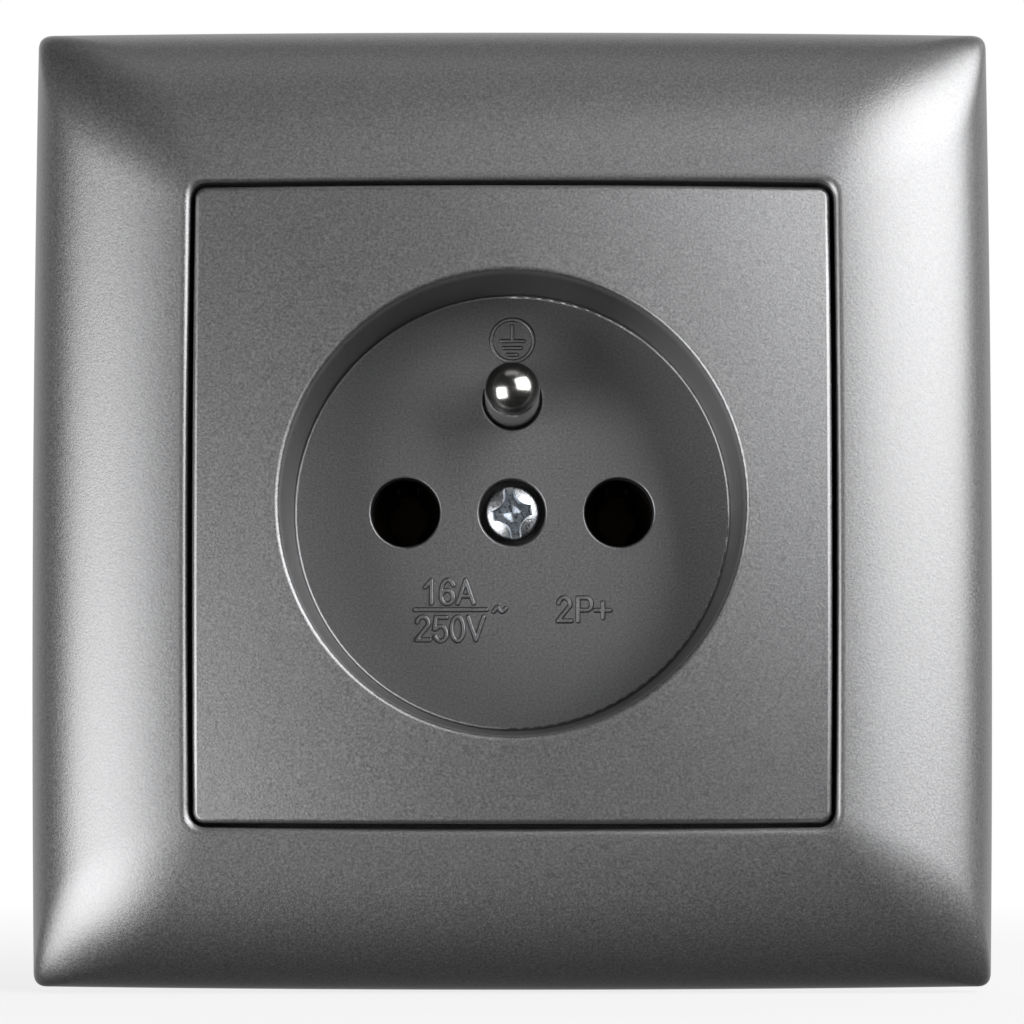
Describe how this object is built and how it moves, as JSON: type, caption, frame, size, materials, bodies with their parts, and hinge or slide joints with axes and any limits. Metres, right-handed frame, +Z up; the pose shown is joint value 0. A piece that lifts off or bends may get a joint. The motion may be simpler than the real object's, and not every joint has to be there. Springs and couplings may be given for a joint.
{
  "type": "wall socket",
  "caption": "Flush wall socket: square domed cover frame, square centre plate with a round recess, two apertures and a projecting earth pin, steel mounting ring and terminal base.",
  "frame": {"origin": "centre of the socket on the wall's surface, where the cover frame's back edge lies", "axes": "+X to the right as seen from the room, +Z up, -Y out into the room, +Y into the wall"},
  "size_m": [0.084, 0.0395, 0.084],
  "materials": {
    "lacquered_plastic": "fine anthracite metallic lacquer, satin",
    "moulded_base": "black thermoset, matt",
    "zinc_steel": "bright zinc plate",
    "spring_steel": "plain spring steel",
    "nickelled_brass": "polished nickel plate on brass",
    "bronze": "bare phosphor bronze",
    "brass_screw": "bare brass"
  },
  "bodies": {
    "root": {"cover_frame": "lacquered_plastic", "centre_plate": "lacquered_plastic", "plate_screw": "zinc_steel", "earth_pin": "nickelled_brass", "earth_strap": "zinc_steel", "mounting_ring": "zinc_steel", "strap_rivets": "zinc_steel", "socket_base": "moulded_base", "contact_cover": "moulded_base", "cover_screws": "zinc_steel", "line_contact": "bronze", "line_spring_ring": "spring_steel", "neutral_contact": "bronze", "neutral_spring_ring": "spring_steel", "line_clamp": "zinc_steel", "line_terminal_screw": "zinc_steel", "neutral_clamp": "zinc_steel", "neutral_terminal_screw": "zinc_steel", "earth_clamp": "zinc_steel", "earth_terminal_screw": "brass_screw"}
  },
  "joints": []
}
